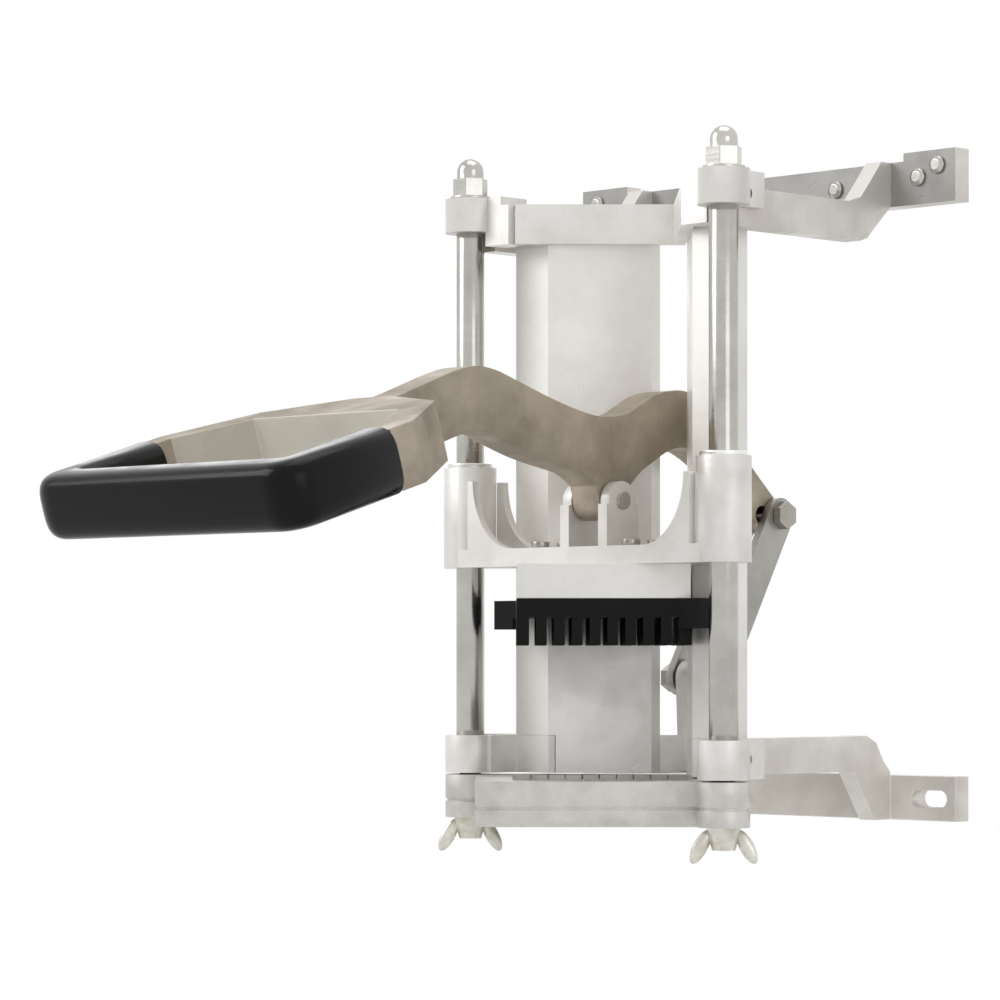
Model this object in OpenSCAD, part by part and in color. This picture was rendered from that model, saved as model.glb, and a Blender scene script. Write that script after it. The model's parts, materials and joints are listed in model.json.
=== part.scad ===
// Wall-mounted lever cutter for chipping potatoes.
// +X runs from rod to rod, +Y points at the wall and +Z is up. The origin is the middle of the
// lower wall plate's two slots, on the face that lies against the wall.
// The square cutting path stands corner first: its sides run at 45 degrees to the rods' plane.

/* [Rods] */
// Distance from the rods' plane to each rod, along X
rod_x = 95; // [90:0.5:105]
// Diameter of a rod
rod_d = 15.8; // [14:0.2:17]
// Diameter of the rod's threaded ends
rod_end_d = 12; // [9:0.5:12]
// Free length of a rod between the two heads
rod_free = 281.5; // [270:0.5:320]
// Outer diameter of the bosses on both heads
boss_d = 28; // [26:0.5:32]
// Height of the bosses on the upper head
upper_boss_h = 19; // [16:0.5:26]
// Height of the bosses on the lower head
lower_boss_h = 21; // [18:0.5:26]

/* [Cutting path] */
// Distance from the rods' plane back to the middle of the cutting path
path_y = 7; // [5:0.5:9]
// Pitch of the knives
pitch = 9.525; // [9:0.005:9.6]
// Number of strips in each direction
strips = 10; // [8:1:10]
// Width of the gap around the pusher inside the guides
path_gap = 1; // [0.5:0.1:1.5]
// Thickness of the blade frame
frame_h = 24; // [22:0.5:30]
// Width of the blade frame's walls around the knives
frame_wall = 21; // [18:0.5:24]
// Height of one layer of knives
knife_h = 9; // [7:0.5:9.5]
// Thickness of a knife
knife_t = 0.8; // [0.5:0.1:1.2]

/* [Guides] */
// Wall thickness of the cast guides
guide_t = 5; // [4:0.5:6]
// Half width of the slot that the lever passes through
slot_half = 13.4; // [12.5:0.1:15]
// Half the distance between the guides' outer ribs
guide_x = 79.3; // [78:0.1:80]
// Depth of the guides' outer ribs
rib_depth = 16; // [12:0.5:18]
// Height of the V-shaped beams of the heads
beam_h = 22; // [18:0.5:23]
// Thickness of the beams' walls
beam_t = 7; // [6:0.5:8]

/* [Slider] */
// Height of the slider's bosses
slider_h = 56; // [50:0.5:60]
// Outer diameter of the slider's bosses
slider_boss_d = 29.5; // [28.5:0.5:32]
// Height of the slider's underside above the lower head's bosses, at rest
slider_gap = 93.5; // [92:0.5:110]
// Thickness of the slider's bottom plate
slider_plate_h = 10; // [8:0.5:12]
// Height of the pivot above the slider's underside
pivot_h = 35; // [33:0.5:40]
// Diameter of the lever's pivot pins
pin_d = 8; // [8:0.5:10]
// Width of the lever between the clevis ears
lever_w = 20; // [18:0.5:21]
// Thickness of one clevis ear
ear_t = 6.5; // [5:0.5:8]
// Height of the pusher plate between slider and pusher block
pusher_plate_h = 18.5; // [15:0.5:24]
// Height of the black pusher block
pusher_h = 25; // [24:0.5:28]
// Height of the pusher block's fingers
finger_h = 15; // [12:0.5:16]
// Width of the slots between the fingers
finger_gap = 3.7; // [3:0.1:4.5]

/* [Link] */
// Distance from the rods' plane back to the link's upper pivot
link_y = 139; // [137:0.5:140]
// Height of the link's upper pivot above the lever's pivot
link_z = -4.5; // [-6:0.5:-2]
// Distance from the rods' plane back to the link's lower pivot
anchor_y = 86; // [84:0.5:88]
// Height of the link's lower pivot above the blade frame's underside
anchor_z = 78; // [74:0.5:82]
// Width of a link plate
link_w = 20; // [18:0.5:21]
// Thickness of a link plate
link_t = 5; // [4:0.5:6]
// Length of the lever's slot for the link's bolt
lever_slot = 10.5; // [9:0.5:11]

/* [Handle] */
// Half the width of the handle, to the middle of its legs
handle_x = 86; // [80:1:100]
// Distance from the rods' plane forward to the middle of the handle's bar
handle_y = 296; // [280:1:310]
// Length of the grip's legs behind the bar
grip_leg = 62; // [50:1:66]
// Width of the grip
grip_w = 26; // [22:0.5:28]
// Height of the grip
grip_h = 34; // [28:0.5:36]
// Slope of the handle, in degrees
handle_tilt = 17; // [14:0.5:20]

/* [Wall brackets] */
// Distance from the rods' plane back to the wall
wall_y = 150.6; // [150:0.1:156]
// Thickness of the wall plates
plate_t = 12; // [10:0.5:12]
// Half the length of the wall plates
plate_x = 140; // [130:1:160]
// Thickness of a bracket arm
arm_t = 11; // [9:0.5:12]
// Height of a wall plate
plate_h = 24.5; // [22:0.5:28]
// Length of the wall slots, end to end
slot_l = 24; // [18:0.5:26]
// Width of the wall slots
slot_w = 9.4; // [6:0.2:11]
// Half the distance between the wall slots
slot_x = 122; // [118:0.5:124]
// Height of the wall slots above the blade frame's underside
slot_z = 12; // [11:0.5:14]

/* [Hidden] */
$fn = 64;
run = 0.08;
soft = 0.4;
root2 = sqrt(2);
rod_r = rod_d / 2;
end_r = rod_end_d / 2;
boss_r = boss_d / 2;
pin_r = pin_d / 2;
path_half = strips * pitch / 2;
guide_in = path_half + path_gap - 0.6;
frame_half = path_half + frame_wall;
lower_z = frame_h + 1;
rod_z0 = lower_z + lower_boss_h;
rod_z1 = rod_z0 + rod_free;
upper_top = rod_z1 + upper_boss_h;
beam_z = upper_top - 5 - beam_h;
slider_z = rod_z0 + slider_gap;
pivot_y = 5;
pivot_z = slider_z + pivot_h;
rear_z = pivot_z + link_z;
lobe_r = pin_r + 6.5;
ear_x = lever_w / 2 + 1;
pusher_top = slider_z - pusher_plate_h;
pusher_z = pusher_top - pusher_h;
link_x = lever_w / 2 + 0.6;
tab_x = rod_x + 5;
tab_y = 27;
tenon_y = tab_y - 18;
upper_screw_z = rod_z1 + upper_boss_h / 2 - 2.5;
lower_screw_z = lower_z + lower_boss_h / 2;
upper_guide_screw_z = beam_z + beam_h / 2;
lower_guide_screw_z = lower_z + lower_boss_h / 2;
arm_x = rod_x;
travel = 80;
ear_reach = 77;
back_bar_y = path_y + 13.8;
corner_x = guide_in * root2;
flange_x = path_half * root2 - 13.15;
flange_y = path_y + corner_x - flange_x;
slot_y = path_y + corner_x - slot_half;
back = guide_t * root2;
fold = guide_t * (root2 - 1);
knife_x = [for (i = [1 : strips - 1]) (i - strips / 2) * pitch];
upper_knife_z = frame_h - 2 - knife_h;
lower_knife_z = upper_knife_z - 0.4 - knife_h;
groove_z = 9;
groove_h = 1.6;
core_w = 12;
core_h = 16;
yoke_y = handle_y - 173;
upper_plate_z = upper_top - 8.5;
pad_h = 29;
nut_r = 10;
nut_h = 10;
screw_r = 3;
head_r = 4.9;
cast = [0.86, 0.85, 0.82];
steel = [0.75, 0.75, 0.74];
dark = [0.5, 0.5, 0.49];

// ---------- helpers ----------

// Moves the rods' frame so that the origin lies at the lower wall plate's slots
module place() { translate([0, -wall_y, -slot_z]) children(); }

// Both sides of the object's middle plane
module both() { children(); mirror([1, 0, 0]) children(); }

// The frame of the cutting path, whose x and y run along its sides
module path() { translate([0, path_y, 0]) rotate(45) children(); }

module box(low, high) { translate(low) cube(high - low); }

module rod_along_x(r, x0, x1, y, z) {
    translate([x0, y, z]) rotate([0, 90, 0]) cylinder(r = r, h = x1 - x0);
}

// An outline given in Y and Z, as thick as from x0 to x1
module slab(x0, x1) {
    translate([x0, 0, 0]) rotate([90, 0, 90]) linear_extrude(x1 - x0) children();
}

// An outline given in X and Z, as thick as from y0 to y1
module front_slab(y0, y1) {
    translate([0, y1, 0]) rotate([90, 0, 0]) linear_extrude(y1 - y0) children();
}

module hexagon(r, h) { cylinder(r = r, h = h, $fn = 6); }

// ---------- heads, rods and their nuts ----------

// V-shaped beam at the back of the cutting path, its inner faces at the given half width
module v_beam(z, h, side, reach) {
    path() translate([0, 0, z]) linear_extrude(h) difference() {
        translate([-reach, -reach]) square(reach + side + beam_t);
        translate([-guide_in * 2, -guide_in * 2]) square(guide_in * 2 + side);
    }
}

// Boss round a rod, and the tab behind it that takes a bracket's arm
module head_boss(z, h) {
    translate([rod_x, 0, z]) cylinder(r = boss_r, h = h);
    box([rod_x - 24, 0, z], [tab_x, tab_y, z + h]);
}

module tenon_slot(z, h) {
    box([arm_x - arm_t - soft, tenon_y - soft, z - 30], [arm_x + soft, tab_y + 1, z + h + 30]);
}

// What a rod's end, a bracket's tenon and its set screw take out of a head
module head_holes(z, h, screw_z) both() {
    tenon_slot(z, h);
    translate([rod_x, 0, z - 30]) cylinder(r = end_r + run, h = h + 60);
    set_screw(screw_r + run, screw_z, 2);
}

// The upper head's beam stands in front of the guides
module upper_head() color(cast) place() difference() {
    union() {
        both() head_boss(rod_z1, upper_boss_h);
        v_beam(beam_z, beam_h, guide_in - beam_t, guide_in - 1);
        both() box([corner_x - 3, 0, beam_z], [rod_x - 12, tab_y - 13, beam_z + beam_h]);
    }
    head_holes(rod_z1, upper_boss_h, upper_screw_z);
    both() guide_clear(rod_z1 - 30, upper_boss_h + 60);
    both() guide_screw_line(upper_guide_screw_z, guide_in - beam_t + 0.9)
        cylinder(r = screw_r + run, h = beam_t + 1);
}

// The lower head's beam stands behind the guides, clear of the pusher and its ears
module lower_head() color(cast) place() {
    difference() {
        union() {
            both() head_boss(lower_z, lower_boss_h);
            v_beam(lower_z, lower_boss_h, guide_in + guide_t + run, path_half / 2);
            both() box([flange_x - 2.6, back_bar_y, lower_z],
                [arm_x - arm_t - soft, back_bar_y + 14, rod_z0]);
        }
        head_holes(lower_z, lower_boss_h, lower_screw_z);
        path() translate([0, 0, lower_z - 1]) linear_extrude(lower_boss_h + 2)
            square(2 * guide_in, center = true);
        both() box([corner_x - 10, -20, lower_z - 1],
            [ear_reach + 2, back_bar_y, rod_z0 + 1]);
        both() guide_screw_line(lower_guide_screw_z, guide_in + guide_t)
            cylinder(r = screw_r + run, h = beam_t + 1);
    }
    anchor_lug();
}

// Lug behind the lower head's corner, on which the link turns
module anchor_lug() {
    corner = path_y + corner_x + 2;
    difference() {
        slab(-8, 8) {
            translate([anchor_y, anchor_z]) circle(r = lobe_r);
            polygon([
                [corner, lower_z + 1], [anchor_y + lobe_r, lower_z + 8],
                [anchor_y + lobe_r, anchor_z], [anchor_y - lobe_r, anchor_z],
                [corner, rod_z0],
            ]);
        }
        rod_along_x(pin_r + run, -9, 9, anchor_y, anchor_z);
    }
}

module rod(x) {
    translate([x, 0, 0]) {
        translate([0, 0, rod_z0]) cylinder(r = rod_r, h = rod_free);
        translate([0, 0, rod_z1]) cylinder(r = end_r, h = upper_boss_h + 9);
        translate([0, 0, -12]) cylinder(r = end_r, h = rod_z0 + 12);
    }
}

module left_rod() color(steel) place() rod(-rod_x);
module right_rod() color(steel) place() rod(rod_x);

module acorn_nuts() color(steel) place() both() translate([rod_x, 0, upper_top + 1.5]) {
    difference() {
        union() {
            hexagon(nut_r, nut_h);
            translate([0, 0, nut_h]) cylinder(r = 7.6, h = 4);
            translate([0, 0, nut_h + 4]) intersection() {
                sphere(r = 7.6);
                cylinder(r = 8, h = 8);
            }
        }
        translate([0, 0, -1]) cylinder(r = end_r + run, h = 9.5);
    }
}

module rod_washers() color(steel) place() both() {
    translate([rod_x, 0, upper_top]) difference() {
        cylinder(r = nut_r + 1.5, h = 1.5);
        translate([0, 0, -1]) cylinder(r = end_r + 0.3, h = 4);
    }
}

// Wing nut under the blade frame, wings spread to the front and back of the object's side
module wing_nut() {
    difference() {
        union() {
            translate([0, 0, -12]) cylinder(r1 = 7, r2 = 9.5, h = 12);
            rotate(45) for (side = [-1, 1]) translate([side * 12.5, 0, -11])
                rotate([0, side * -25, 0]) front_slab(-2, 2) {
                    translate([0, -4]) circle(r = 5);
                    translate([-5, -4]) square([10, 12]);
                }
        }
        translate([0, 0, -13]) cylinder(r = end_r + run, h = 14);
    }
}

module wing_nuts() color(steel) place() {
    for (x = [-rod_x, rod_x]) translate([x, 0, 0]) wing_nut();
}

// ---------- guides behind the cutting path ----------

module guide_outline(grow = 0) {
    polygon([
        [slot_half, slot_y - grow], [flange_x, flange_y - grow],
        [guide_x + grow, flange_y - grow], [guide_x + grow, flange_y + rib_depth],
        [guide_x - guide_t, flange_y + rib_depth], [guide_x - guide_t, flange_y + guide_t],
        [flange_x + fold, flange_y + guide_t], [slot_half, slot_y + back],
    ]);
}

module guide_clear(z, h) {
    translate([0, 0, z]) linear_extrude(h) polygon([
        [slot_half - 40, slot_y + 40], [flange_x, flange_y - 0.01],
        [guide_x + soft, flange_y - 0.01], [guide_x + soft, flange_y + 60], [0, flange_y + 120],
    ]);
}

// Axes of the screws that hold a guide's wall to a head's beam, from the given half width outwards
module guide_screw_line(z, from) {
    for (along = [0, 18]) path() translate([from, along, z]) rotate([0, 90, 0]) children();
}

// The flange and the rib stand on the lower head, and the wall goes on down in front of its beam
module guide() {
    difference() {
        translate([0, 0, lower_z]) linear_extrude(beam_z + beam_h - lower_z) guide_outline();
        box([flange_x - 3, 0, lower_z - 1], [guide_x + 1, flange_y + 40, rod_z0 + run]);
        guide_screw_line(upper_guide_screw_z, guide_in - 5)
            cylinder(r = screw_r + 0.2, h = guide_t + 10);
        guide_screw_line(lower_guide_screw_z, guide_in + 1)
            cylinder(r = screw_r + 0.2, h = guide_t + 10);
    }
}

module right_guide() color(cast) place() guide();
module left_guide() color(cast) place() mirror([1, 0, 0]) guide();

module guide_screws() color(dark) place() both() {
    guide_screw_line(upper_guide_screw_z, guide_in - beam_t + 1) {
        cylinder(r = screw_r, h = beam_t + guide_t - 0.9);
        translate([0, 0, beam_t + guide_t - 1]) cylinder(r = head_r, h = 3.5);
    }
    guide_screw_line(lower_guide_screw_z, guide_in + 1.2) {
        cylinder(r = screw_r, h = guide_t + beam_t - 1);
        translate([0, 0, guide_t + beam_t - 1.2 + run]) cylinder(r = head_r, h = 3.5);
    }
}

// ---------- wall brackets ----------

// Outline of the upper arm: level from the tab, then up to the wall plate
module upper_arm_outline() {
    z0 = beam_z - 2;
    z1 = beam_z + beam_h - 3;
    front = wall_y - plate_t;
    polygon([
        [tenon_y, z0], [front - 26, z0], [front - 20, z0 + 2], [front - 15, z0 + 7],
        [front, upper_plate_z], [front, upper_plate_z + plate_h], [front - 8, upper_plate_z + plate_h],
        [front - 18, z1 + 12], [front - 26, z1 + 3], [front - 36, z1], [tenon_y, z1],
    ]);
}

// Outline of the lower arm: level from the tab, then down to the wall plate
module lower_arm_outline() {
    z0 = lower_z + 2;
    z1 = rod_z0 + 0.5;
    front = wall_y - plate_t;
    polygon([
        [tenon_y, z0], [front - 32, z0], [front - 14, 0], [front, 0],
        [front, plate_h + 2], [front - 6, z1 - 14], [front - 12, z1 - 4], [front - 20, z1],
        [tenon_y, z1],
    ]);
}

// Set screw through a head's tab and the arm's tenon inside it
module set_screw(r, z, extra = 0) {
    rod_along_x(r, arm_x - arm_t - 3.5, tab_x - 1 + extra, tenon_y + 5, z);
}

module upper_wall_bracket() color(dark) place() difference() {
    union() {
        both() slab(arm_x - arm_t, arm_x) upper_arm_outline();
        box([-plate_x, wall_y - plate_t, upper_plate_z], [plate_x, wall_y, upper_plate_z + plate_h]);
        both() box([plate_x - 36, wall_y - plate_t, upper_plate_z],
            [plate_x, wall_y, upper_plate_z + pad_h]);
    }
    both() {
        set_screw(screw_r + 0.2, upper_screw_z);
        rivet_places() translate([0, 0, -1]) cylinder(r = 2.6, h = plate_t + 2);
    }
}

module lower_wall_bracket() color(dark) place() difference() {
    union() {
        both() slab(arm_x - arm_t, arm_x) lower_arm_outline();
        box([-plate_x, wall_y - plate_t, 0], [plate_x, wall_y, plate_h]);
    }
    both() {
        set_screw(screw_r + 0.2, lower_screw_z);
        translate([slot_x, wall_y + 1, slot_z]) rotate([90, 0, 0]) {
            half = (slot_l - slot_w) / 2;
            for (x = [-half, half]) translate([x, 0, 0]) cylinder(r = slot_w / 2, h = plate_t + 2);
            translate([-half, -slot_w / 2, 0]) cube([2 * half, slot_w, plate_t + 2]);
        }
    }
}

// Rivets on the right half of the upper plate, their axes towards the wall
module rivet_places() {
    for (p = [[plate_x - 25.5, 15], [plate_x - 12, 20.5], [56, 13]])
        translate([p[0], wall_y - plate_t, upper_plate_z + p[1]]) rotate([-90, 0, 0]) children();
}

module plate_rivets() color(steel) place() both() rivet_places() {
    translate([0, 0, -1.4]) cylinder(r = head_r, h = 1.4);
    translate([0, 0, -2.6]) cylinder(r1 = 3, r2 = head_r, h = 1.2);
    cylinder(r = 2.5, h = plate_t);
}

module bracket_screws() color(steel) place() both() {
    for (z = [upper_screw_z, lower_screw_z]) set_screw(screw_r, z);
}

// ---------- blade frame and knives ----------

// One layer of the blade frame: its outline drawn in by less, round the square of the knives
module frame_layer(less, z0, z1) {
    translate([0, 0, z0]) linear_extrude(z1 - z0) difference() {
        union() {
            path() square(2 * (frame_half - less), center = true);
            for (x = [-rod_x, rod_x]) translate([x, 0]) circle(r = boss_r - less);
        }
        path() square(2 * (path_half + path_gap), center = true);
    }
}

module blade_frame() color(cast) place() difference() {
    union() {
        frame_layer(0, 0, groove_z);
        frame_layer(1, groove_z, groove_z + groove_h);
        frame_layer(0, groove_z + groove_h, frame_h);
    }
    both() translate([rod_x, 0, -1]) cylinder(r = end_r + 0.5, h = frame_h + 2);
    path() for (x = knife_x) {
        box([x - knife_t / 2, -path_half - 6.2, upper_knife_z],
            [x + knife_t / 2, path_half + 6.2, frame_h + 1]);
        box([-path_half - 6.2, x - knife_t / 2, -1],
            [path_half + 6.2, x + knife_t / 2, upper_knife_z - 0.2]);
    }
}

module upper_knives() color(steel) place() path() for (x = knife_x)
    box([x - knife_t / 2, -path_half - 6, upper_knife_z],
        [x + knife_t / 2, path_half + 6, upper_knife_z + knife_h]);

module lower_knives() color(steel) place() path() for (x = knife_x)
    box([-path_half - 6, x - knife_t / 2, lower_knife_z],
        [path_half + 6, x + knife_t / 2, lower_knife_z + knife_h]);

// ---------- slider, pusher and bushes ----------

// Half outline of a rib: high at the boss, with a hollow curve down to the plate
module rib_outline() {
    tall = slider_h - slider_plate_h - 8;
    wide = 30;
    difference() {
        translate([rod_x - 16 - wide, slider_z]) square([wide + 4, slider_plate_h + tall]);
        translate([rod_x - 16 - wide, slider_z + slider_plate_h + tall]) scale([1, tall / wide])
            circle(r = wide);
    }
}

module slider() color(cast) place() {
    difference() {
        union() {
            both() translate([rod_x, 0, slider_z]) cylinder(r = slider_boss_d / 2, h = slider_h);
            box([-rod_x + 4, -14, slider_z], [rod_x - 4, 20, slider_z + slider_plate_h]);
            both() for (y = [-14, 9]) front_slab(y, y + 5) rib_outline();
            both() slab(ear_x, ear_x + ear_t) {
                translate([pivot_y, pivot_z]) circle(r = lobe_r);
                translate([pivot_y - lobe_r - 2, slider_z + 2]) square([2 * lobe_r + 4, pivot_h - 4]);
            }
        }
        both() translate([rod_x, 0, slider_z - 1]) cylinder(r = rod_r + 2.5, h = slider_h + 2);
        rod_along_x(pin_r + run, -40, 40, pivot_y, pivot_z);
        both() pusher_screw_places() cylinder(r = screw_r + 0.2, h = 20);
    }
}

module bush(x) color([0.9, 0.89, 0.86]) place() translate([x, 0, slider_z]) difference() {
    union() {
        cylinder(r = rod_r + 2.5 - 0.02, h = slider_h);
        translate([0, 0, slider_h]) cylinder(r = slider_boss_d / 2 - 2, h = 2.5);
    }
    translate([0, 0, -1]) cylinder(r = rod_r + run, h = slider_h + 5);
}
module left_bush() bush(-rod_x);
module right_bush() bush(rod_x);

// Screws down through the slider's plate into the pusher
module pusher_screw_places() {
    for (y = [-6, 14]) translate([34, y, slider_z - 1]) children();
}

module pusher_plate() color([0.9, 0.89, 0.86]) place() difference() {
    path() translate([-path_half + 1.3, -path_half + 1.3, pusher_top])
        cube([2 * path_half - 2.6, 2 * path_half - 2.6, pusher_plate_h]);
    both() pusher_screw_places() translate([0, 0, -30]) cylinder(r = screw_r + 0.2, h = 40);
}

module pusher_block() color([0.17, 0.17, 0.15]) place() difference() {
    union() {
        path() translate([-path_half + 1, -path_half + 1, pusher_z])
            cube([2 * path_half - 2, 2 * path_half - 2, pusher_h]);
        both() box([path_half * root2 - 10, path_y - 6, frame_h + travel + 1],
            [ear_reach, path_y + 6, pusher_top]);
    }
    path() for (x = knife_x) {
        box([x - finger_gap / 2, -path_half - 1, pusher_z - 1], [x + finger_gap / 2, path_half + 1,
            pusher_z + finger_h]);
        box([-path_half - 1, x - finger_gap / 2, pusher_z - 1], [path_half + 1, x + finger_gap / 2,
            pusher_z + finger_h]);
    }
    both() pusher_screw_places() translate([0, 0, pusher_z - slider_z + finger_h + 5])
        cylinder(r = screw_r + 0.02, h = 40);
}

module pusher_screws() color(steel) place() both() pusher_screw_places() {
    translate([0, 0, pusher_z - slider_z + finger_h + 6])
        cylinder(r = screw_r, h = slider_z + slider_plate_h - pusher_z - finger_h - 5);
    translate([0, 0, slider_plate_h + 1]) cylinder(r = head_r, h = 3.5);
}

// ---------- lever, grip and pins ----------

// A smooth curve through the given points, with four steps between neighbours
function curve(p) = [
    for (i = [0 : len(p) - 2], k = [0 : 3])
        let (a = p[max(i - 1, 0)], b = p[i], c = p[i + 1], d = p[min(i + 2, len(p) - 1)], t = k / 4)
        (2 * b + (c - a) * t + (2 * a - 5 * b + 4 * c - d) * t * t
            + (3 * b - a - 3 * c + d) * t * t * t) / 2,
    p[len(p) - 1],
];

// Lever's outline in Y and Z, measured from the middle of its pivot
module lever_outline() {
    rear = link_y - pivot_y;
    front_under = [
        [-178, 24], [-163, 20.5], [-147, 20.5], [-130, 26], [-112, 32], [-97, 33.5], [-80, 28],
        [-60, 22], [-41, 18], [-24, 14.5], [-lobe_r - 2, 8],
    ];
    rear_under = [
        [lobe_r + 1, 6], [22, 16], [34, 23], [46, 29], [60, 31], [76, 26], [96, 13],
        [rear - 19, link_z - 2], [rear, link_z - 10],
    ];
    over = [
        [rear, link_z + 10], [112, 25], [98, 38], [84, 50], [72, 58], [59, 62.5], [46, 62],
        [34, 59], [22, 53], [10, 47.5], [-10, 45.5], [-30, 49], [-49, 54], [-70, 60.5],
        [-90, 66.5], [-106, 67.5], [-123, 63], [-150, 53], [-178, 43],
    ];
    circle(r = lobe_r);
    translate([rear, link_z]) circle(r = 10);
    polygon(concat(curve(front_under), [[-lobe_r, 0], [lobe_r, 0]], curve(rear_under), curve(over)));
}

// The handle's own frame: y runs back from the bar's middle, z square to the handle's slope
module handle_frame() {
    translate([0, -handle_y, pivot_z - 8]) rotate([handle_tilt, 0, 0]) children();
}

module lever() color([0.62, 0.57, 0.5]) place() difference() {
    union() {
        translate([0, pivot_y, pivot_z]) slab(-lever_w / 2, lever_w / 2) lever_outline();
        handle_frame() {
            yoke();
            both() box([handle_x - core_w / 2, 0, -core_h / 2],
                [handle_x + core_w / 2, grip_leg + 10, core_h / 2]);
            box([-handle_x, -core_w / 2, -core_h / 2], [handle_x, core_w / 2, core_h / 2]);
        }
    }
    rod_along_x(pin_r + run, -40, 40, pivot_y, pivot_z);
    translate([0, link_y, rear_z]) for (y = [-lever_slot, 0])
        rod_along_x(pin_r + 1.2, -40, 40, y, 0);
    translate([0, link_y, rear_z])
        box([-40, -lever_slot, -pin_r - 1.2], [40, 0, pin_r + 1.2]);
}

// Cast yoke that spreads from the lever's neck to the two legs
module yoke() {
    translate([0, 0, -15.5]) linear_extrude(31) difference() {
        polygon([
            [-handle_x - 9, grip_leg], [-handle_x - 9, grip_leg + 16], [-handle_x + 20, yoke_y],
            [-14, yoke_y + 20], [14, yoke_y + 20], [handle_x - 20, yoke_y],
            [handle_x + 9, grip_leg + 16], [handle_x + 9, grip_leg],
        ]);
        polygon([
            [-handle_x + 6, grip_leg - 1], [-handle_x + 6, grip_leg + 10],
            [-handle_x + 32, yoke_y - 15], [handle_x - 32, yoke_y - 15],
            [handle_x - 6, grip_leg + 10], [handle_x - 6, grip_leg - 1],
        ]);
    }
}

// Rounded outline of the grip, in its own x and y
module grip_outline() {
    r = 9;
    square([grip_w, grip_h - 2 * r], center = true);
    square([grip_w - 2 * r, grip_h], center = true);
    for (x = [-1, 1], y = [-1, 1]) translate([x * (grip_w / 2 - r), y * (grip_h / 2 - r)]) circle(r = r);
}

module grip() color([0.06, 0.06, 0.06]) place() handle_frame() difference() {
    bend = grip_w / 2 + 1;
    union() {
        translate([-handle_x + bend, 0, 0]) rotate([90, 0, 90])
            linear_extrude(2 * (handle_x - bend)) grip_outline();
        both() {
            translate([handle_x, grip_leg - 0.3, 0]) rotate([90, 0, 0])
                linear_extrude(grip_leg - 0.3 - bend) grip_outline();
            translate([handle_x - bend, bend, 0]) rotate(-90) rotate_extrude(angle = 90)
                translate([bend, 0]) grip_outline();
        }
    }
    both() box([handle_x - core_w / 2, 0, -core_h / 2],
        [handle_x + core_w / 2, grip_leg + 1, core_h / 2]);
    box([-handle_x, -core_w / 2, -core_h / 2], [handle_x, core_w / 2, core_h / 2]);
}

module lever_pin() color(steel) place() {
    reach = ear_x + ear_t;
    rod_along_x(pin_r, -reach - 4, reach + 0.01, pivot_y, pivot_z);
    rod_along_x(pin_r + 0.8, reach, reach + 1.6, pivot_y, pivot_z);
}

module pin_rings() color(dark) place() difference() {
    reach = ear_x + ear_t;
    rod_along_x(pin_r + 2, -reach - 2, -reach - 0.3, pivot_y, pivot_z);
    rod_along_x(pin_r + 0.02, -reach - 3, -reach, pivot_y, pivot_z);
}

// ---------- links and their bolts ----------

module link() difference() {
    dir = [link_y - anchor_y, rear_z - anchor_z] / norm([link_y - anchor_y, rear_z - anchor_z]);
    side = [dir[1], -dir[0]] * link_w / 2;
    top = [link_y, rear_z];
    low = [anchor_y, anchor_z];
    slab(link_x, link_x + link_t) {
        translate(top) circle(r = link_w / 2);
        translate(low) circle(r = link_w / 2);
        polygon([top + side, top - side, low - side, low + side]);
    }
    rod_along_x(pin_r - 1 + run, 0, 40, link_y, rear_z);
    rod_along_x(pin_r + run, 0, 40, anchor_y, anchor_z);
}

module right_link() color(steel) place() link();
module left_link() color(steel) place() mirror([1, 0, 0]) link();

module hex_bolt(r, y, z) {
    reach = link_x + link_t;
    rod_along_x(r, -reach - 8, reach, y, z);
    translate([reach, y, z]) rotate([0, 90, 0]) hexagon(8, 5);
}

module hex_nut(r, y, z) {
    reach = link_x + link_t;
    translate([-reach - 7, y, z]) rotate([0, 90, 0]) difference() {
        hexagon(8, 7);
        translate([0, 0, -1]) cylinder(r = r + 0.02, h = 9);
    }
}

module link_bolt() color(dark) place() hex_bolt(pin_r - 1, link_y, rear_z);
module link_nut() color(dark) place() hex_nut(pin_r - 1, link_y, rear_z);
module anchor_bolt() color(dark) place() hex_bolt(pin_r, anchor_y, anchor_z);
module anchor_nut() color(dark) place() hex_nut(pin_r, anchor_y, anchor_z);

upper_head();
lower_head();
left_rod();
right_rod();
acorn_nuts();
rod_washers();
wing_nuts();
left_guide();
right_guide();
guide_screws();
upper_wall_bracket();
lower_wall_bracket();
bracket_screws();
plate_rivets();
blade_frame();
upper_knives();
lower_knives();
slider();
left_bush();
right_bush();
pusher_plate();
pusher_block();
pusher_screws();
lever();
grip();
lever_pin();
pin_rings();
left_link();
right_link();
link_bolt();
link_nut();
anchor_bolt();
anchor_nut();
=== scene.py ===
# %% [markdown]
# # A wall-mounted french fry cutter
# The cutter is a set of aluminium castings on two ground steel rods, with a black grip on the
# lever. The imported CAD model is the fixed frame: every size and every moving body comes from it.
# Here it gets its finishes, its softened edges, and the pieces that need rounder forms.

# %% Load the frame
import json
import math

import bmesh
import bpy
from mathutils import Matrix, Vector


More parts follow.
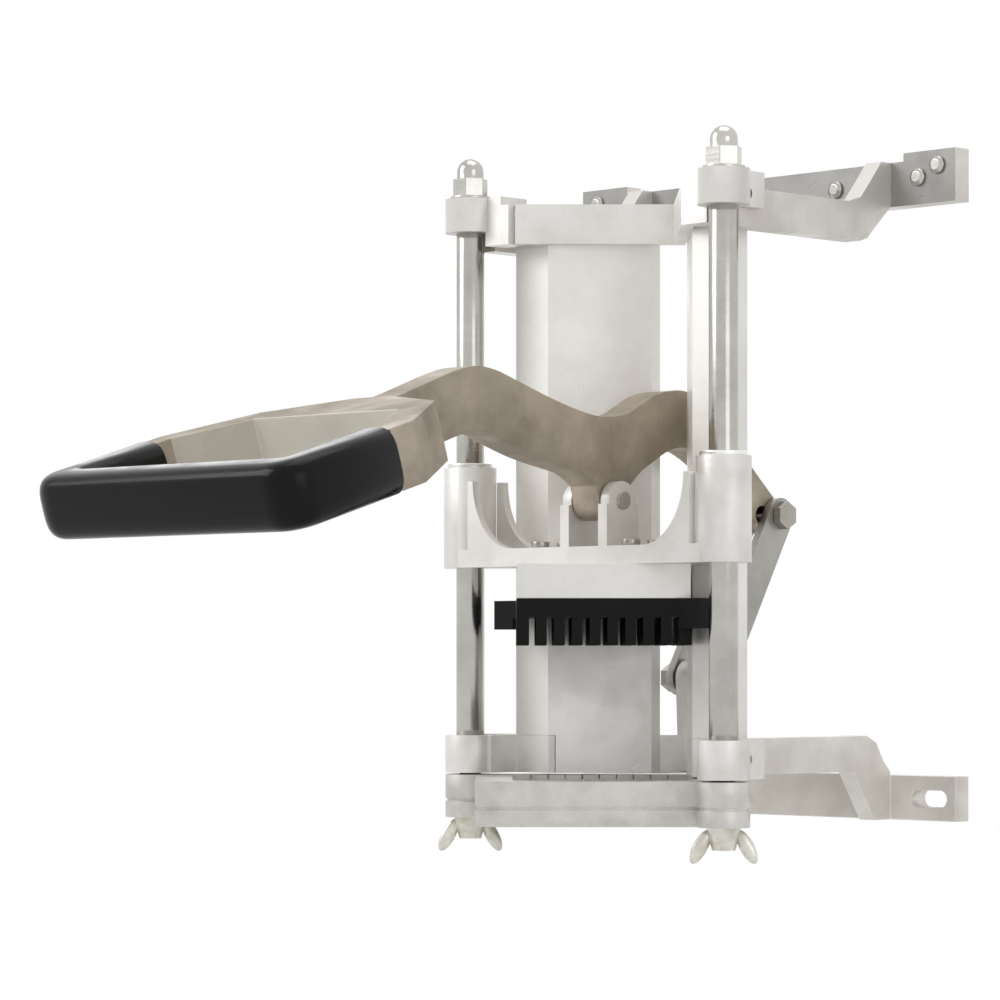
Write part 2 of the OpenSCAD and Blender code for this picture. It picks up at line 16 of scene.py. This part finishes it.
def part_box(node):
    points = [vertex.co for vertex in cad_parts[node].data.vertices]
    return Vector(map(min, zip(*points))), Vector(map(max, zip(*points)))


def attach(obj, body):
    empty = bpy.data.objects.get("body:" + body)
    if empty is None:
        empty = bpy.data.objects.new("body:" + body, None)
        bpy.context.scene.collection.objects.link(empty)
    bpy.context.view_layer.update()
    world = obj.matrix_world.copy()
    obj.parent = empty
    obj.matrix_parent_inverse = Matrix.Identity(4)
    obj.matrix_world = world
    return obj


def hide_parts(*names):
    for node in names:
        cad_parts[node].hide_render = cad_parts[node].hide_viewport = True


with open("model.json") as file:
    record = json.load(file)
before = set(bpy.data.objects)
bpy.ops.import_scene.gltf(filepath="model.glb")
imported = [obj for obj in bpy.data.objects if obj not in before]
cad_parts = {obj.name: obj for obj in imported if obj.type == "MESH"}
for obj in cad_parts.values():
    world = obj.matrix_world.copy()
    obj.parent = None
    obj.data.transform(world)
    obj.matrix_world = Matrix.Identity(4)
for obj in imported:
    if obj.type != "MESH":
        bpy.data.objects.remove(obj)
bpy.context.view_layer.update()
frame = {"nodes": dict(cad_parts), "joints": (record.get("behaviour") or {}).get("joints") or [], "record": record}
nodes = frame["nodes"]
joints = {joint["name"]: joint for joint in frame["joints"]}
mm = 0.001

# %% [markdown]
# Places on this cutter are measured from the plane of the two rods and from the blade frame's
# underside, so the scene starts there too. Both are read from the nodes' own boxes instead of
# being written down again, so they follow the CAD model.

# %% Where the rods stand
rod_low, rod_high = (Vector(corner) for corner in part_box("right_rod"))
rod_x = (rod_low.x + rod_high.x) / 2
rod_y = (rod_low.y + rod_high.y) / 2
base_z = Vector(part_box("blade_frame")[0]).z
print("rods at x =", round(rod_x, 4), "y =", round(rod_y, 4), "base at z =", round(base_z, 4))

# %% [markdown]
# The photograph was taken from the right and in front, at 45 degrees to the rods' plane, with a
# long lens held level. A tilted camera would make the rods lean together, so this one stays level
# too, and a vertical shift brings the upper half into the picture instead.

# %% Camera
scene = bpy.context.scene
camera_data = bpy.data.cameras.new("camera")
camera = bpy.data.objects.new("camera", camera_data)
scene.collection.objects.link(camera)
bpy.context.scene.camera = camera
camera_data.sensor_width = 36
camera_data.lens = 135
camera_data.shift_y = 0.157
distance = 2040 * mm
sideways = -50.5 * mm
camera_height = 89.7 * mm
right_way = Vector((1, 1, 0)).normalized()
view_way = Vector((-1, 1, 0)).normalized()
rods_middle = Vector((0, rod_y, base_z + camera_height))
camera.location = rods_middle + sideways * right_way - distance * view_way
camera.rotation_euler = (math.radians(90), 0, math.radians(45))
print("camera at", [round(c, 3) for c in camera.location])

# %% [markdown]
# The background, the floor and every finish are small trees of shader nodes. Building one by hand
# takes many similar lines, so a few helpers come first. One sets or links a socket, and each of
# the others adds a node and returns the socket that the next node reads.

# %% Helpers for shader nodes


def feed(tree, socket, value):
    """Links a socket to another one, or sets it to a plain value."""
    if isinstance(value, bpy.types.NodeSocket):
        tree.links.new(value, socket)
    else:
        socket.default_value = value


def add_math(tree, operation, first, second):
    """A product, a maximum or another operation on two numbers."""
    node = tree.nodes.new("ShaderNodeMath")
    node.operation = operation
    feed(tree, node.inputs[0], first)
    feed(tree, node.inputs[1], second)
    return node.outputs[0]


def add_shader_mix(tree, share, first, second):
    """A mix of two shaders; a share of 1 gives only the second."""
    node = tree.nodes.new("ShaderNodeMixShader")
    feed(tree, node.inputs[0], share)
    feed(tree, node.inputs[1], first)
    feed(tree, node.inputs[2], second)
    return node.outputs[0]


def add_seen_rays(tree):
    """1 for rays that see a surface or its reflection, 0 for rays that only carry light."""
    path = tree.nodes.new("ShaderNodeLightPath").outputs
    seen = add_math(tree, "MAXIMUM", path["Is Camera Ray"], path["Is Glossy Ray"])
    return add_math(tree, "MAXIMUM", seen, path["Is Transmission Ray"])


print("node helpers are ready")

# %% [markdown]
# Bright metal shows what stands round it more than its own colour. The background is pure white
# to the camera and in reflections, but it sends out only a third of that as light. A world that
# lit the castings at full strength would wash them out.

# %% World
room_strength = 0.34
scene.view_settings.view_transform = "Standard"
world = bpy.data.worlds.new("studio")
scene.world = world
world.use_nodes = True
world_tree = world.node_tree
world_tree.nodes.clear()


def add_background(tree, colour, strength):
    """A world shader of one colour."""
    node = tree.nodes.new("ShaderNodeBackground")
    node.inputs["Color"].default_value = (*colour, 1)
    node.inputs["Strength"].default_value = strength
    return node.outputs[0]


room_light = add_background(world_tree, (1, 0.99, 0.97), room_strength)
white_seen = add_background(world_tree, (1, 1, 1), 1.0)
backdrop = add_shader_mix(world_tree, add_seen_rays(world_tree), room_light, white_seen)
world_out = world_tree.nodes.new("ShaderNodeOutputWorld")
world_tree.links.new(backdrop, world_out.inputs["Surface"])
print("world:", world.name, "with room light at", room_strength)

# %% [markdown]
# Four large area lamps do the rest: a key from the front left, a weaker fill from the right, one
# from above, and a rim light from behind. Large lamps give soft shadows, and these are kept weak
# so that the pale castings keep their shades.

# %% Lamps
cutter_middle = Vector((0, rod_y, base_z + 180 * mm))


def soft_lamp(name, place, size, power):
    """An area lamp that points at the middle of the cutter."""
    data = bpy.data.lights.new(name, "AREA")
    data.size = size
    data.energy = power
    lamp = bpy.data.objects.new(name, data)
    lamp.location = place
    lamp.rotation_euler = (cutter_middle - Vector(place)).to_track_quat("-Z", "Y").to_euler()
    scene.collection.objects.link(lamp)


soft_lamp("key", place=(-1.1, -1.6, 1.2), size=1.1, power=12)
soft_lamp("fill", place=(1.9, -0.7, 0.5), size=1.0, power=3)
soft_lamp("top", place=(0.1, -0.1, 1.7), size=1.2, power=5)
soft_lamp("rim", place=(-1.2, 0.9, 0.7), size=0.9, power=2.5)
print("lamps:", [light.name for light in bpy.data.lights])

# %% [markdown]
# A wall-mounted cutter stands on nothing, so the floor is only there to catch a faint shadow, well
# below the handle's lowest place.

# %% Floor
floor_z = -0.32
floor_half = 6
floor_bm = bmesh.new()
bmesh.ops.create_grid(floor_bm, x_segments=1, y_segments=1, size=floor_half)
bmesh.ops.translate(floor_bm, verts=floor_bm.verts, vec=(0, 0, floor_z))
floor_mesh = bpy.data.meshes.new("floor")
floor_bm.to_mesh(floor_mesh)
floor_bm.free()
floor = bpy.data.objects.new("floor", floor_mesh)
scene.collection.objects.link(floor)
print("floor at z =", floor_z)

# %% [markdown]
# Near the object a fifth of the floor's look is real shading, and further out the floor fades into
# the white background, so that no edge shows. The fade is a glow, mixed in by distance and only
# for the rays that see the floor, so the glow itself lights nothing.

# %% Floor paint
glow_near = 0.8
fade_start = 0.4
fade_end = 1.2


def add_ramp(tree, value, low, high, to_low, to_high):
    """Maps value from low..high to to_low..to_high, held inside."""
    node = tree.nodes.new("ShaderNodeMapRange")
    limits = {"From Min": low, "From Max": high, "To Min": to_low, "To Max": to_high}
    for socket, number in limits.items():
        node.inputs[socket].default_value = number
    feed(tree, node.inputs["Value"], value)
    return node.outputs["Result"]


floor_paint = bpy.data.materials.new("floor_paint")
floor_paint.use_nodes = True
floor_tree = floor_paint.node_tree
paint = floor_tree.nodes["Principled BSDF"]
paint.inputs["Base Color"].default_value = (0.93, 0.93, 0.93, 1)
paint.inputs["Roughness"].default_value = 0.9
glow = floor_tree.nodes.new("ShaderNodeEmission")
glow.inputs["Strength"].default_value = 1.0
reach = floor_tree.nodes.new("ShaderNodeVectorMath")
reach.operation = "LENGTH"
floor_places = floor_tree.nodes.new("ShaderNodeTexCoord").outputs["Object"]
floor_tree.links.new(floor_places, reach.inputs[0])
faded = add_ramp(floor_tree, reach.outputs["Value"], fade_start, fade_end, glow_near, 1)
glow_share = add_math(floor_tree, "MULTIPLY", faded, add_seen_rays(floor_tree))
mixed = add_shader_mix(floor_tree, glow_share, paint.outputs[0], glow.outputs[0])
floor_tree.links.new(mixed, floor_tree.nodes["Material Output"].inputs["Surface"])
floor_mesh.materials.append(floor_paint)
print("floor fades from", fade_start, "to", fade_end, "m")

# %% [markdown]
# Three effects are shared by many finishes, so each is a node group with named inputs and
# outputs, built once. They all read Object coordinates, which give each point its own place on
# the piece and move along with it, so a pattern never slides when a joint turns.

# %% Helpers for shared effects


def new_group(name, inputs, outputs):
    """An empty shader node group, with the sockets that its nodes read and write."""
    group = bpy.data.node_groups.new(name, "ShaderNodeTree")
    for socket, kind, value in inputs:
        made = group.interface.new_socket(name=socket, in_out="INPUT", socket_type=kind)
        made.default_value = value
    for socket, kind in outputs:
        group.interface.new_socket(name=socket, in_out="OUTPUT", socket_type=kind)
    start = group.nodes.new("NodeGroupInput")
    end = group.nodes.new("NodeGroupOutput")
    return group, start.outputs, end.inputs


def add_places(tree):
    """Each point's own place on its piece."""
    return tree.nodes.new("ShaderNodeTexCoord").outputs["Object"]


def add_noise(tree, vector, scale, detail, roughness=0.6):
    """A noise texture on the given vector."""
    node = tree.nodes.new("ShaderNodeTexNoise")
    node.inputs["Detail"].default_value = detail
    node.inputs["Roughness"].default_value = roughness
    feed(tree, node.inputs["Vector"], vector)
    feed(tree, node.inputs["Scale"], scale)
    return node.outputs["Fac"]


def add_colour_mix(tree, share, first, second):
    """A mix of two colours; on a Mix node these are inputs 6 and 7, and output 2."""
    node = tree.nodes.new("ShaderNodeMix")
    node.data_type = "RGBA"
    feed(tree, node.inputs[0], share)
    feed(tree, node.inputs[6], first)
    feed(tree, node.inputs[7], second)
    return node.outputs[2]


print("effect helpers are ready")

# %% [markdown]
# The first effect is blotches, the slow changes of shade that every casting has where it was
# filed, handled or cooled unevenly. A few dark specks lie over them.

# %% Blotches
patch_limits = (0.38, 0.64)
speck_scale = 420
speck_limits = (0.62, 0.75)
speck_share = 0.5
blotches, given, result = new_group(
    "blotches",
    [
        ("Pale", "NodeSocketColor", (0.8, 0.8, 0.8, 1)),
        ("Dark", "NodeSocketColor", (0.6, 0.6, 0.6, 1)),
        ("Scale", "NodeSocketFloat", 25.0),
    ],
    [("Color", "NodeSocketColor"), ("Mask", "NodeSocketFloat")],
)
places = add_places(blotches)
patches = add_ramp(blotches, add_noise(blotches, places, given["Scale"], 5), *patch_limits, 0, 1)
speck_noise = add_noise(blotches, places, speck_scale, 2)
specks = add_ramp(blotches, speck_noise, *speck_limits, 0, speck_share)
toned = add_colour_mix(blotches, patches, given["Pale"], given["Dark"])
speckled = add_colour_mix(blotches, specks, toned, given["Dark"])
blotches.links.new(speckled, result["Color"])
blotches.links.new(patches, result["Mask"])
print("group:", blotches.name)

# %% [markdown]
# The second is grit, the fine skin that sand or a file leaves. It is a height, and a Bump node
# turns that into shading: fine noise for the grain, and now and then a deeper pit.

# %% Grit
pit_limits = (0.62, 0.72)
pit_depth = -1.5
grit, given, result = new_group(
    "grit",
    [("Scale", "NodeSocketFloat", 900.0), ("Pits", "NodeSocketFloat", 260.0)],
    [("Height", "NodeSocketFloat")],
)
places = add_places(grit)
grain = add_noise(grit, places, given["Scale"], 3, 0.7)
pits = add_ramp(grit, add_noise(grit, places, given["Pits"], 2), *pit_limits, 0, pit_depth)
grit.links.new(add_math(grit, "ADD", grain, pits), result["Height"])
print("group:", grit.name)

# %% [markdown]
# The third is brushing, the fine scratches of a ground part. Noise that is squeezed hard along
# one axis and little along the others turns into thin lines across that axis.

# %% Brushing
scratch_limits = (0.35, 0.65)
brushing, given, result = new_group(
    "brushing",
    [("Stretch", "NodeSocketVector", (60, 60, 2500))],
    [("Height", "NodeSocketFloat"), ("Mask", "NodeSocketFloat")],
)
squeeze = brushing.nodes.new("ShaderNodeMapping")
brushing.links.new(add_places(brushing), squeeze.inputs["Vector"])
brushing.links.new(given["Stretch"], squeeze.inputs["Scale"])
scratches = add_noise(brushing, squeeze.outputs[0], 1.0, 3)
brushing.links.new(scratches, result["Height"])
brushing.links.new(add_ramp(brushing, scratches, *scratch_limits, 0, 1), result["Mask"])
print("group:", brushing.name)

# %% [markdown]
# All finishes are built alike: a tone for the colour, a mask that the roughness follows, and a
# height for the bump. Only the groups that give these three differ, so the linking is one helper.

# %% Helpers for finishes


def place_group(material, group, **values):
    """Places a shared group in a material, sets its inputs and returns its outputs."""
    node = material.node_tree.nodes.new("ShaderNodeGroup")
    node.node_tree = group
    for socket, value in values.items():
        node.inputs[socket].default_value = value
    return node.outputs


def new_finish(name, metallic):
    """A material with a plain Principled shader, and that shader's inputs."""
    material = bpy.data.materials.new(name)
    material.use_nodes = True
    shader = material.node_tree.nodes["Principled BSDF"].inputs
    shader["Metallic"].default_value = metallic
    return material, shader


def link_finish(material, shader, tone, mask, rough, height, bump, depth):
    """Links the tone, a roughness between two values by the mask, and the bump."""
    tree = material.node_tree
    tree.links.new(tone, shader["Base Color"])
    tree.links.new(add_ramp(tree, mask, 0, 1, *rough), shader["Roughness"])
    bump_node = tree.nodes.new("ShaderNodeBump")
    bump_node.inputs["Strength"].default_value = bump
    bump_node.inputs["Distance"].default_value = depth
    tree.links.new(height, bump_node.inputs["Height"])
    tree.links.new(bump_node.outputs[0], shader["Normal"])


finishes = {}
print("finish helpers are ready")

# %% [markdown]
# A casting is not mirror metal: its skin is full of pits a fraction of a millimetre wide, so it
# scatters light. A shader that is half metallic and rather rough gives that silvery but not shiny
# look. The blotches drive its colour and roughness, and the grit its bump.

# %% Cast finishes
cast_depth = 0.12 * mm


def cast_metal(name, pale, dark, metallic=0.55, rough=(0.36, 0.6), scale=22.0, bump=0.35):
    """A sand-cast surface: blotches for the tone, grit for the skin."""
    material, shader = new_finish(name, metallic)
    tone = place_group(material, blotches, Pale=(*pale, 1), Dark=(*dark, 1), Scale=scale)
    skin = place_group(material, grit)["Height"]
    link_finish(material, shader, tone["Color"], tone["Mask"], rough, skin, bump, cast_depth)
    return material


cast_looks = {
    "casting": dict(pale=(0.9, 0.885, 0.855), dark=(0.79, 0.77, 0.735)),
    "guide_casting": dict(pale=(0.95, 0.935, 0.905), dark=(0.86, 0.84, 0.8), scale=14.0),
    "bracket_casting": dict(pale=(0.86, 0.83, 0.78), dark=(0.72, 0.69, 0.64)),
    "frame_casting": dict(pale=(0.74, 0.73, 0.69), dark=(0.62, 0.6, 0.56), scale=40.0),
    "lever_casting": dict(
        pale=(0.52, 0.45, 0.365), dark=(0.33, 0.28, 0.22),
        metallic=0.5, rough=(0.42, 0.62), scale=18.0, bump=0.6,
    ),
    "pusher_metal": dict(
        pale=(0.9, 0.89, 0.86), dark=(0.82, 0.81, 0.77), metallic=0.5, rough=(0.3, 0.45)
    ),
    "wing_steel": dict(
        pale=(0.8, 0.78, 0.71), dark=(0.55, 0.52, 0.45),
        metallic=0.8, rough=(0.25, 0.4), scale=90.0,
    ),
}
finishes.update({name: cast_metal(name, **look) for name, look in cast_looks.items()})
print("cast finishes:", list(cast_looks))

# %% [markdown]
# The rods, nuts, screws, links and knives are ground or drawn steel. They are fully metallic, and
# what tells one from another is how dark, how rough and which way brushed it is. On the rods the
# scratches run round, so the noise is squeezed along their length. On the links they run along.

# %% Steel finishes
scratches_round = (60, 60, 2600)
scratches_along_z = (2200, 2200, 40)
scratch_depth = 0.03 * mm
worn_share = 0.82
worn_scale = 30.0


def brushed_metal(name, colour, stretch=scratches_round, rough=(0.25, 0.4), bump=0.12):
    """A ground or brushed surface, a little darker where it is worn."""
    material, shader = new_finish(name, 1.0)
    worn = tuple(worn_share * c for c in colour)
    tone = place_group(
        material, blotches, Pale=(*colour, 1), Dark=(*worn, 1), Scale=worn_scale
    )["Color"]
    marks = place_group(material, brushing, Stretch=stretch)
    link_finish(material, shader, tone, marks["Mask"], rough, marks["Height"], bump, scratch_depth)
    return material


steel_looks = {
    "bush_metal": dict(colour=(0.88, 0.87, 0.84)),
    "rod_steel": dict(colour=(0.5, 0.49, 0.46), rough=(0.12, 0.26)),
    "bright_steel": dict(colour=(0.56, 0.545, 0.51), rough=(0.1, 0.22), bump=0.05),
    "screw_steel": dict(colour=(0.42, 0.4, 0.36)),
    "link_steel": dict(
        colour=(0.42, 0.41, 0.38), stretch=scratches_along_z, rough=(0.32, 0.46)
    ),
    "knife_steel": dict(colour=(0.75, 0.75, 0.75), rough=(0.15, 0.3)),
}
finishes.update({name: brushed_metal(name, **look) for name, look in steel_looks.items()})
print("steel finishes:", list(steel_looks))

# %% [markdown]
# The grip and the pusher's fingers are moulded and black. Pure black would hide their shape, so
# they are very dark with a weak reflection. The grip is smooth with a thin coat for its sheen, and
# the fingers are matte.

# %% Moulded finishes
mould_depth = 0.1 * mm
mould_grain = 500.0
handled_share = 1.6
handled_scale = 40.0


def moulded(name, colour, rough, bump, coat=0.0):
    """Moulded plastic with a little unevenness, paler where it is handled."""
    material, shader = new_finish(name, 0.0)
    shader["Specular IOR Level"].default_value = 0.14
    shader["Coat Weight"].default_value = coat
    shader["Coat Roughness"].default_value = 0.12
    handled = tuple(handled_share * c for c in colour)
    tone = place_group(
        material, blotches, Pale=(*colour, 1), Dark=(*handled, 1), Scale=handled_scale
    )
    grain = place_group(material, grit, Scale=mould_grain)["Height"]
    link_finish(material, shader, tone["Color"], tone["Mask"], rough, grain, bump, mould_depth)
    return material


mould_looks = {
    "pusher_plastic": dict(colour=(0.006, 0.0058, 0.0055), rough=(0.42, 0.58), bump=0.3),
    "grip_plastic": dict(colour=(0.002, 0.002, 0.002), rough=(0.16, 0.28), bump=0.04, coat=0.06),
}
finishes.update({name: moulded(name, **look) for name, look in mould_looks.items()})
print("finishes:", len(finishes))

# %% [markdown]
# Two castings get painted light and shade. The upper wall plate gets a painted shade, dark on the
# faces at the front while its arms are bright, and the lever's yoke gets a painted highlight, pale on
# the faces that look forwards inside its loop. They could be split into more pieces, but on the real
# cutter each is one casting, so the finish changes its tone by where a point lies and by which way
# its face looks.

# %% Painted shade and light on two castings
facing_limits = (-0.35, -0.7)
upper_plate_z = 0.25
plate_front_y = rod_y + 137 * mm
yoke_y = rod_y - 130 * mm


def paint_front_light_and_shade(material, colour, limits):
    """Paints shade or light as another tone on faces that look forwards, past each limit of (axis, start, end)."""
    tree = material.node_tree
    base = tree.nodes["Principled BSDF"].inputs["Base Color"]
    before = base.links[0].from_socket
    coords = tree.nodes.new("ShaderNodeTexCoord")
    facing = tree.nodes.new("ShaderNodeSeparateXYZ")
    lying = tree.nodes.new("ShaderNodeSeparateXYZ")
    tree.links.new(coords.outputs["Normal"], facing.inputs[0])
    tree.links.new(coords.outputs["Object"], lying.inputs[0])
    share = add_ramp(tree, facing.outputs["Y"], *facing_limits, 0, 1)
    for axis, start, end in limits:
        past = add_ramp(tree, lying.outputs[axis], start, end, 0, 1)
        share = add_math(tree, "MULTIPLY", share, past)
    tree.links.new(add_colour_mix(tree, share, before, (*colour, 1)), base)


# painted shade: the upper wall plate's faces that look forwards get a dark tone, and its arms stay bright
paint_front_light_and_shade(
    finishes["bracket_casting"], (0.34, 0.335, 0.32),
    [("Y", plate_front_y, plate_front_y + mm), ("Z", upper_plate_z, upper_plate_z + 10 * mm)],
)
# painted highlight: the yoke's faces that look forwards inside its loop get a pale tone
paint_front_light_and_shade(finishes["lever_casting"], (0.82, 0.78, 0.68), [("Y", yoke_y, yoke_y - mm)])
print("two tones on: bracket_casting, lever_casting")

# %% [markdown]
# Each CAD node takes the finish of its material slot. Real castings and turned parts have no
# sharp edges, and a narrow bevel catches the light along every corner. The CAD mesh is loose
# triangles, so three modifiers do it: a weld joins them, a planar decimate makes each flat face
# one face again, and only then can the bevel run cleanly. The knives stay sharp.

# %% Dress the CAD nodes
slot_of = {part["node"]: part["material_slot"] for part in frame["record"]["subparts"]}
edge_mm = {
    "upper_head": 1.2, "lower_head": 1.2, "slider": 1.1, "lever": 1.6, "left_guide": 0.8,
    "right_guide": 0.8, "upper_wall_bracket": 1.2, "lower_wall_bracket": 1.2, "blade_frame": 0.9,
    "pusher_plate": 1.2, "pusher_block": 0.35, "left_link": 0.5, "right_link": 0.5,
}
small_edge_mm = 0.3
sharp_nodes = ("upper_knives", "lower_knives")


def soften(obj, width):
    """Joins the node's triangles into flat faces and bevels its sharp edges."""
    weld = obj.modifiers.new("weld", "WELD")
    weld.merge_threshold = 0.01 * mm
    flatten = obj.modifiers.new("flatten", "DECIMATE")
    flatten.decimate_type = "DISSOLVE"
    flatten.angle_limit = math.radians(0.5)
    bevel = obj.modifiers.new("bevel", "BEVEL")
    bevel.width = width
    bevel.segments = 2
    bevel.limit_method = "ANGLE"
    bevel.angle_limit = math.radians(28)
    bevel.use_clamp_overlap = True


for name, obj in nodes.items():
    for material_slot in obj.material_slots:
        material_slot.material = finishes[slot_of[name]]
    if name not in sharp_nodes:
        soften(obj, edge_mm.get(name, small_edge_mm) * mm)
print("dressed", len(nodes), "nodes")

# %% [markdown]
# Two nodes need rounder forms than their solids have. Each new piece is written in a bmesh, and
# both are finished the same way: doubles merged, normals pointing out, smooth shading up to an
# angle, a finish, the body that they move with, and the CAD node that they stand for.

# %% Finish a new piece


def finish_piece(bm, name, body, slot, stands_for, smooth):
    """Writes a bmesh as an object at the origin, attaches it to its body and hides the CAD node that it stands
    for.
    """
    bmesh.ops.remove_doubles(bm, verts=bm.verts, dist=0.005 * mm)
    bmesh.ops.recalc_face_normals(bm, faces=bm.faces)
    mesh = bpy.data.meshes.new(name)
    bm.to_mesh(mesh)
    bm.free()
    mesh.materials.append(finishes[slot])
    piece = bpy.data.objects.new(name, mesh)
    scene.collection.objects.link(piece)
    mesh.polygons.foreach_set("use_smooth", [True] * len(mesh.polygons))
    mesh.set_sharp_from_angle(angle=math.radians(smooth))
    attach(piece, body)
    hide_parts(stands_for)
    print(name, len(mesh.polygons), "faces")


# %% [markdown]
# The grip is a black sleeve over a U-shaped bar. A sleeve keeps the same section nearly all the
# way, so one ring is drawn once and carried round the U: along a leg, round a corner, along the
# bar, and so on to the other leg. The ring's outline lies between an ellipse and a rectangle, as
# a soft sleeve's does over a flat bar.

# %% The grip's ring
grip_w = 26 * mm
grip_h = 34 * mm
ring_points = 48
ring_squareness = 3.4


def draw_ring(bm):
    """A closed ring in x and z, as wide and high as the grip."""
    made = bmesh.ops.create_circle(bm, cap_ends=False, segments=ring_points, radius=1)
    for vert in made["verts"]:
        angle = math.atan2(vert.co.y, vert.co.x)
        c, s = math.cos(angle), math.sin(angle)
        vert.co.x = math.copysign(abs(c) ** (2 / ring_squareness), c) * grip_w / 2
        vert.co.z = math.copysign(abs(s) ** (2 / ring_squareness), s) * grip_h / 2
        vert.co.y = 0
    return list({edge for vert in made["verts"] for edge in vert.link_edges})


def verts_of(edges):
    """The vertices of a ring of edges, each once."""
    return {vert for edge in edges for vert in edge.verts}


def carry(bm, edges, step):
    """Extrudes the open ring by a step and returns the new ring."""
    made = bmesh.ops.extrude_edge_only(bm, edges=edges)["geom"]
    verts = [item for item in made if isinstance(item, bmesh.types.BMVert)]
    bmesh.ops.translate(bm, verts=verts, vec=step)
    return [item for item in made if isinstance(item, bmesh.types.BMEdge)]


print("ring of", ring_points, "points")

# %% [markdown]
# At a corner the sleeve is square on the inside and rounded on the outside. A plain spin about
# the inner corner would round it too much, so here the ring turns in small steps, and in each
# step it is stretched until it reaches the outline of a rounded square.

# %% The grip's corners
corner_round = 17 * mm
corner_steps = 12
quarter_turn = math.radians(90)


def reach_at(turned):
    """Distance from the inner corner to the rounded square, after a turn of the ring."""
    fold = min(turned, quarter_turn - turned)
    side_reach = grip_w / math.cos(fold)
    straight_part = grip_w - corner_round
    if side_reach * math.sin(fold) <= straight_part:
        return side_reach
    along = straight_part * (math.cos(fold) + math.sin(fold))
    return along + math.sqrt(along**2 - 2 * straight_part**2 + corner_round**2)


def square_corner(bm, edges, inner_x, inner_y):
    """Carries the ring a quarter turn round an inner corner."""
    ring = edges
    last_reach = grip_w
    spin = Matrix.Rotation(quarter_turn / corner_steps, 3, "Z")
    for step in range(1, corner_steps + 1):
        reach_now = reach_at(quarter_turn * step / corner_steps)
        ring = carry(bm, ring, (0, 0, 0))
        for vert in verts_of(ring):
            flat = Vector((vert.co.x - inner_x, vert.co.y - inner_y, 0))
            flat = spin @ (flat * (reach_now / last_reach))
            vert.co = (inner_x + flat.x, inner_y + flat.y, vert.co.z)
        last_reach = reach_now
    return ring


print("reach at the middle of a corner:", round(reach_at(quarter_turn / 2), 4))

# %% [markdown]
# Now the ring goes round. It starts at the end of the left leg, where it is also closed, and the
# whole U is put in the handle's place at the last. The handle's y axis points back along the
# legs, and the sizes are those of the sleeve in the CAD model.

# %% The grip
lever_pivot = Vector(joints["lever_swing"]["pos_m"])
handle_tilt = math.radians(17)
handle_below_pivot = 8 * mm
handle_x = 86 * mm
handle_y = 296 * mm
grip_leg = 61.7 * mm
end_lips = ((0.96, 1.0 * mm), (0.88, 0.5 * mm))
bar_shares = (0.3, 0.4, 0.3)


def close_end(bm, edges):
    """Rounds an open ring over a small lip along y, and fills it."""
    centre = sum((vert.co for vert in verts_of(edges)), Vector()) / ring_points
    ring = edges
    for shrink, push in end_lips:
        ring = carry(bm, ring, (0, push, 0))
        for vert in verts_of(ring):
            middle = Vector((centre.x, vert.co.y, centre.z))
            vert.co = middle + (vert.co - middle) * shrink
    bmesh.ops.contextual_create(bm, geom=ring)


inside = 0.501 * grip_w
leg_end = grip_leg - sum(push for _, push in end_lips)
leg_run = leg_end - inside
bar_run = 2 * (handle_x - inside)
grip_bm = bmesh.new()
start_ring = draw_ring(grip_bm)
bmesh.ops.translate(grip_bm, verts=grip_bm.verts, vec=(-handle_x, leg_end, 0))
close_end(grip_bm, start_ring)
ring = carry(grip_bm, start_ring, (0, -leg_run, 0))
ring = square_corner(grip_bm, ring, -handle_x + inside, inside)
for share in bar_shares:
    ring = carry(grip_bm, ring, (bar_run * share, 0, 0))
ring = square_corner(grip_bm, ring, handle_x - inside, inside)
ring = carry(grip_bm, ring, (0, leg_run, 0))
close_end(grip_bm, ring)
handle_place = Matrix.Translation((0, rod_y - handle_y, lever_pivot.z - handle_below_pivot))
handle_turn = Matrix.Rotation(handle_tilt, 4, "X")
bmesh.ops.transform(grip_bm, matrix=handle_place @ handle_turn, verts=grip_bm.verts)
finish_piece(grip_bm, "grip_sleeve", "lever_body", "grip_plastic", "grip", smooth=60)

# %% [markdown]
# A wing nut is one small tumbled casting: a cone with two ears that lean outwards. Each ear here
# is a ball, flattened, stretched and sunk into the cone, so that the three read as one piece. The
# ears could be cut from a plate, but a ball gives their round edges at once. They stand at 45
# degrees to the rods' plane, as in the photograph.

# %% The wing nuts
cone_low_r = 6.4 * mm
cone_high_r = 9.2 * mm
cone_h = 12 * mm
ear_size = Matrix.Diagonal((3.9 * mm, 1.9 * mm, 10 * mm, 1))
ear_out = 12.2 * mm
ear_down = 10.2 * mm
ear_lean = math.radians(28)
ears_heading = math.radians(45)


def wing_nut(bm, centre):
    """One wing nut hanging under centre."""
    cone = bmesh.ops.create_cone(
        bm, cap_ends=True, segments=32, radius1=cone_low_r, radius2=cone_high_r, depth=cone_h
    )
    bmesh.ops.translate(bm, verts=cone["verts"], vec=(0, 0, -cone_h / 2))
    made = list(cone["verts"])
    for side in (-1, 1):
        ear = bmesh.ops.create_uvsphere(bm, u_segments=24, v_segments=14, radius=1)
        lean = Matrix.Rotation(-side * ear_lean, 4, "Y")
        shift = Matrix.Translation((side * ear_out, 0, -ear_down))
        bmesh.ops.transform(bm, matrix=shift @ lean @ ear_size, verts=ear["verts"])
        made += ear["verts"]
    place = Matrix.Translation(centre) @ Matrix.Rotation(ears_heading, 4, "Z")
    bmesh.ops.transform(bm, matrix=place, verts=made)


wing_bm = bmesh.new()
for side in (-1, 1):
    wing_nut(wing_bm, (side * rod_x, rod_y, base_z))
finish_piece(wing_bm, "wing_nut_pair", "frame", "wing_steel", "wing_nuts", smooth=50)
